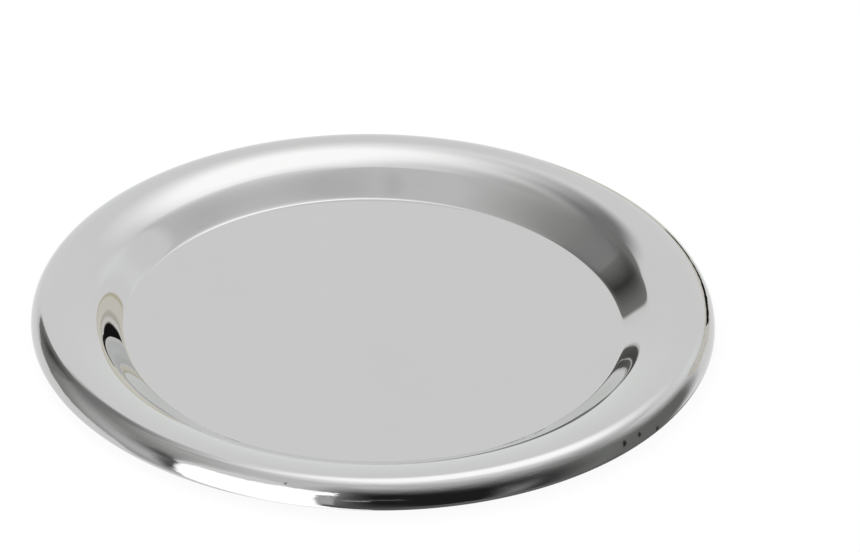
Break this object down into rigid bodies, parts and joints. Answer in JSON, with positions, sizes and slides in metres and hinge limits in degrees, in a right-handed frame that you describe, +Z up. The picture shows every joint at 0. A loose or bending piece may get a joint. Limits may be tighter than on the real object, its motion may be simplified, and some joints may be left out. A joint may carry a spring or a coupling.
{
  "type": "coin tray",
  "caption": "Shallow round tray for coins and small change, pressed from one polished steel sheet, with a flat base, sloping wall and wide rolled rim.",
  "frame": {"origin": "centre of the flat underside, where the tray rests on a table", "axes": "+Z is up along the tray's axis of revolution; X and Y lie in the table's plane and are equal"},
  "size_m": [0.14, 0.14, 0.0068],
  "materials": {
    "polished_steel": "mirror-polished stainless steel with fine round polishing marks and light scratches",
    "drawn_wire": "plain drawn steel wire, dull grey"
  },
  "bodies": {
    "root": {"tray_pan": "polished_steel", "rim_wire": "drawn_wire"}
  },
  "joints": []
}
